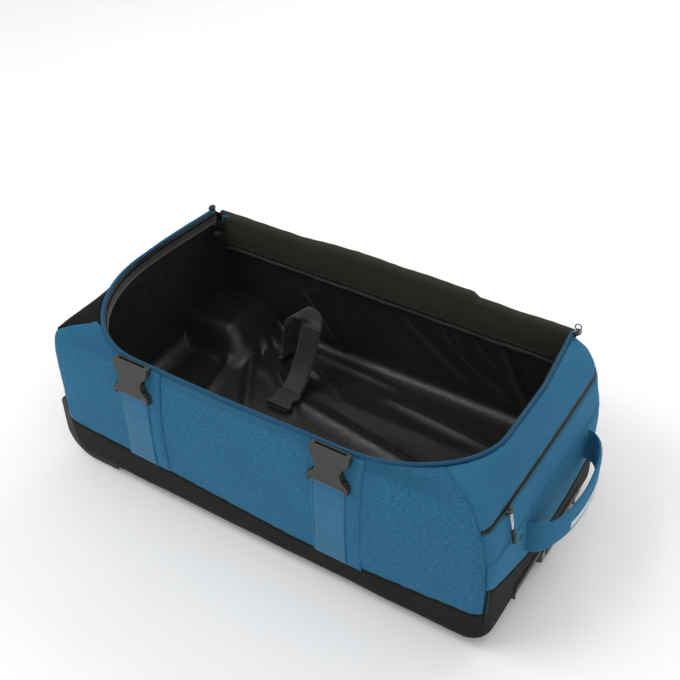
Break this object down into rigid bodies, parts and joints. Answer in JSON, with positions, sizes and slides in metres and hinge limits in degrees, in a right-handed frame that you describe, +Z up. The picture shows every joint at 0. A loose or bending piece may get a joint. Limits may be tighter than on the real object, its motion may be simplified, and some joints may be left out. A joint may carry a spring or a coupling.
{
  "type": "rolling duffel bag",
  "caption": "Large wheeled soft duffel bag lying open: padded walls, folding lid, pull-out trolley, wheels, buckled straps, zip pocket and grab handle.",
  "frame": {"origin": "middle of the bag's base on the floor plane, on the underside of the middle skid rail", "axes": "+X along the bag towards the handle end, +Y towards the hinged far side, +Z up from the floor that the bag's back lies on"},
  "size_m": [0.8272, 0.6359, 0.292],
  "materials": {
    "blue_fabric": "woven two-tone polyester with a fine ribbed diamond weave",
    "blue_webbing": "tight twill webbing",
    "blue_piping": "smooth welt piping",
    "black_fabric": "coated matt polyester",
    "base_shell": "smooth coated base fabric over a foam board",
    "satin_lining": "glossy satin lining",
    "black_webbing": "fine twill webbing",
    "buckle_plastic": "moulded acetal with a fine grain",
    "guard_plastic": "moulded polypropylene with a fine grain",
    "recess_plastic": "moulded polypropylene, semi-matt",
    "grip_plastic": "smooth moulded nylon",
    "button_plastic": "moulded acetal",
    "tube_metal": "brushed and anodised",
    "steel": "ground steel",
    "tyre": "polyurethane tread",
    "hub_plastic": "moulded nylon",
    "board": "polypropylene sheet",
    "zip_black": "enamelled zip parts and coil",
    "pull_rubber": "moulded soft rubber over a grey cord"
  },
  "bodies": {
    "bag": {"base_tray": "base_shell", "front_panel": "blue_fabric", "far_panel": "blue_fabric", "wheel_end_panel": "black_fabric", "handle_end_panel": "blue_fabric", "handle_end_shoulder": "blue_fabric", "rim_piping": "blue_piping", "body_zip_tape": "zip_black", "lid_hinge_fabric": "black_fabric", "lining": "satin_lining", "far_wall_facing": "black_fabric", "seam_binding": "black_fabric", "floor_board": "board", "trolley_outer_tube_left": "tube_metal", "trolley_outer_tube_right": "tube_metal", "trolley_recess": "recess_plastic", "trolley_rear_bracket": "recess_plastic", "wheel_housing_left": "guard_plastic", "wheel_housing_right": "guard_plastic", "wheel_axle_left": "steel", "wheel_axle_right": "steel", "housing_screws": "steel", "skid_rails": "guard_plastic", "corner_feet": "guard_plastic", "strap_facing_left": "blue_webbing", "strap_facing_right": "blue_webbing", "strap_webbing_left": "blue_webbing", "strap_webbing_right": "blue_webbing", "grab_handle_ends": "blue_webbing", "eyelet": "zip_black", "pocket_zip": "zip_black", "main_slider_left": "zip_black", "main_slider_right": "zip_black", "packing_strap_far": "black_webbing", "packing_strap_near": "black_webbing", "packing_buckle_male": "buckle_plastic"},
    "lid_upper": {"lid_panel_upper": "blue_fabric", "lid_lining_upper": "satin_lining"},
    "lid_lower": {"lid_panel_lower": "blue_fabric", "lid_lining_lower": "satin_lining", "lid_straps": "blue_webbing", "lid_buckles_male": "buckle_plastic"},
    "trolley": {"trolley_inner_tube_left": "tube_metal", "trolley_inner_tube_right": "tube_metal", "trolley_grip": "grip_plastic"},
    "trolley_button": {"grip_button": "button_plastic"},
    "wheel_left": {"tyre_left": "tyre", "wheel_hub_left": "hub_plastic", "wheel_bearings_left": "steel"},
    "wheel_right": {"tyre_right": "tyre", "wheel_hub_right": "hub_plastic", "wheel_bearings_right": "steel"},
    "handle_grip": {"grab_handle": "blue_webbing"},
    "buckle_left": {"buckle_female_left": "buckle_plastic"},
    "buckle_right": {"buckle_female_right": "buckle_plastic"},
    "zip_slider": {"pocket_slider": "zip_black"},
    "zip_pull": {"pocket_pull": "pull_rubber"},
    "main_tab": {"main_pull_tab": "blue_piping"},
    "main_ring": {"main_pull_ring": "zip_black"},
    "packing_end": {"packing_strap_end": "black_webbing"}
  },
  "joints": [
    {"name": "lid_hinge", "type": "hinge", "parent": "bag", "child": "lid_upper", "pos_m": [0, 0.222, 0.263], "axis": [1, 0, 0], "range_deg": [0, 270]},
    {"name": "lid_fold", "type": "hinge", "parent": "lid_upper", "child": "lid_lower", "pos_m": [0, 0.2273, 0.0186], "axis": [1, 0, 0], "range_deg": [-90, 0]},
    {"name": "trolley_slide", "type": "slide", "parent": "bag", "child": "trolley", "axis": [1, 0, 0], "range_m": [0, 0.38]},
    {"name": "grip_button_press", "type": "slide", "parent": "trolley", "child": "trolley_button", "axis": [-1, 0, 0], "range_m": [0, 0.004], "stiffness_N_per_m": 400},
    {"name": "wheel_left_spin", "type": "hinge", "parent": "bag", "child": "wheel_left", "pos_m": [-0.356, -0.155, 0.038], "axis": [0, 1, 0], "continuous": true},
    {"name": "wheel_right_spin", "type": "hinge", "parent": "bag", "child": "wheel_right", "pos_m": [-0.356, 0.155, 0.038], "axis": [0, 1, 0], "continuous": true},
    {"name": "grab_handle_flex", "type": "slide", "parent": "bag", "child": "handle_grip", "axis": [-1, 0, 0], "range_m": [0, 0.024]},
    {"name": "buckle_left_swing", "type": "hinge", "parent": "bag", "child": "buckle_left", "pos_m": [-0.207, -0.2225, 0.222], "axis": [1, 0, 0], "range_deg": [0, 80]},
    {"name": "buckle_right_swing", "type": "hinge", "parent": "bag", "child": "buckle_right", "pos_m": [0.142, -0.2225, 0.222], "axis": [1, 0, 0], "range_deg": [0, 80]},
    {"name": "pocket_slider_run", "type": "slide", "parent": "bag", "child": "zip_slider", "axis": [0, 1, 0], "range_m": [0, 0.32]},
    {"name": "pocket_pull_swing", "type": "hinge", "parent": "zip_slider", "child": "zip_pull", "pos_m": [0.37786, -0.148, 0.22372], "axis": [0, -1, 0], "range_deg": [0, 80]},
    {"name": "main_tab_swing", "type": "hinge", "parent": "bag", "child": "main_tab", "pos_m": [-0.3682, 0.1905, 0.2723], "axis": [0, -1, 0], "range_deg": [0, 120]},
    {"name": "main_ring_swing", "type": "hinge", "parent": "bag", "child": "main_ring", "pos_m": [0.323, 0.194, 0.2815], "axis": [0, 1, 0], "range_deg": [-50, 50]},
    {"name": "packing_strap_swing", "type": "hinge", "parent": "bag", "child": "packing_end", "pos_m": [-0.123, 0.144, 0.1588], "axis": [-1, 0, 0], "range_deg": [0, 60]}
  ],
  "couplings": [
    {"joint": "lid_fold", "follows": "lid_hinge", "ratio": -0.33333}
  ]
}
